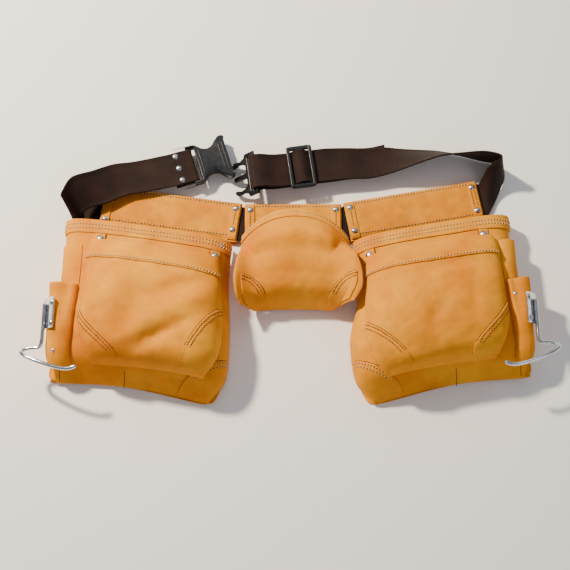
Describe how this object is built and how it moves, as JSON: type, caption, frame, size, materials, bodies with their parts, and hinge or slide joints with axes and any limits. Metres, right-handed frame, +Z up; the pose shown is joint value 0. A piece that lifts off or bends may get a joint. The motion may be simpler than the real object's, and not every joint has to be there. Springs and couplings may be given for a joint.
{
  "type": "carpenter nail apron with webbing belt",
  "caption": "Tan leather carpenter's nail apron: two double bags, centre pocket, hammer loops and an open dark brown webbing belt, lying face up.",
  "frame": {"origin": "on the floor under the middle of the whole apron's box", "axes": "+X to the right seen from above with the belt away from the viewer, +Y from the bags up to the belt, +Z up from the floor the apron lies on"},
  "size_m": [0.7064, 0.3878, 0.0873],
  "materials": {
    "leather_tan": "satin",
    "webbing_brown": "matte",
    "plastic_black": "satin",
    "steel_bright": "polished"
  },
  "bodies": {
    "root": {"belt_tunnel_left": "leather_tan", "end_strip_left_inner": "leather_tan", "rivet_left_inner_0": "steel_bright", "rivet_left_inner_1": "steel_bright", "end_strip_left_outer": "leather_tan", "rivet_left_outer_0": "steel_bright", "belt_tunnel_right": "leather_tan", "end_strip_right_inner": "leather_tan", "rivet_right_inner_0": "steel_bright", "rivet_right_inner_1": "steel_bright", "end_strip_right_outer": "leather_tan", "rivet_right_outer_0": "steel_bright", "rivet_right_outer_1": "steel_bright", "belt_tunnel_centre": "leather_tan", "end_strip_centre_inner": "leather_tan", "rivet_centre_inner_0": "steel_bright", "end_strip_centre_outer": "leather_tan", "rivet_centre_outer_0": "steel_bright", "back_panel_left": "leather_tan", "back_panel_right": "leather_tan", "bag_left": "leather_tan", "bag_hem_left": "leather_tan", "front_pocket_left": "leather_tan", "pocket_hem_left": "leather_tan", "pocket_patch_left_inner": "leather_tan", "pocket_patch_left_outer": "leather_tan", "side_pocket_left": "leather_tan", "tool_sleeve_left": "leather_tan", "hammer_plate_left": "steel_bright", "hammer_wire_left": "steel_bright", "pocket_ear_left_inner": "leather_tan", "rivet_ear_left_inner": "steel_bright", "pocket_ear_left_outer": "leather_tan", "rivet_ear_left_outer": "steel_bright", "bag_right": "leather_tan", "bag_hem_right": "leather_tan", "front_pocket_right": "leather_tan", "pocket_hem_right": "leather_tan", "pocket_patch_right_inner": "leather_tan", "pocket_patch_right_outer": "leather_tan", "side_pocket_right": "leather_tan", "tool_sleeve_right": "leather_tan", "hammer_plate_right": "steel_bright", "hammer_wire_right": "steel_bright", "pocket_ear_right_inner": "leather_tan", "rivet_ear_right_inner": "steel_bright", "pocket_ear_right_outer": "leather_tan", "rivet_ear_right_outer": "steel_bright", "centre_pocket_back": "leather_tan", "centre_pocket_front": "leather_tan", "centre_pocket_hem": "leather_tan", "centre_patch_left": "leather_tan", "centre_patch_right": "leather_tan", "belt": "webbing_brown", "buckle_socket": "plastic_black", "rivet_belt_0": "steel_bright", "rivet_belt_1": "steel_bright", "rivet_belt_2": "steel_bright", "belt_slider": "plastic_black", "buckle_plug": "plastic_black"}
  },
  "joints": []
}
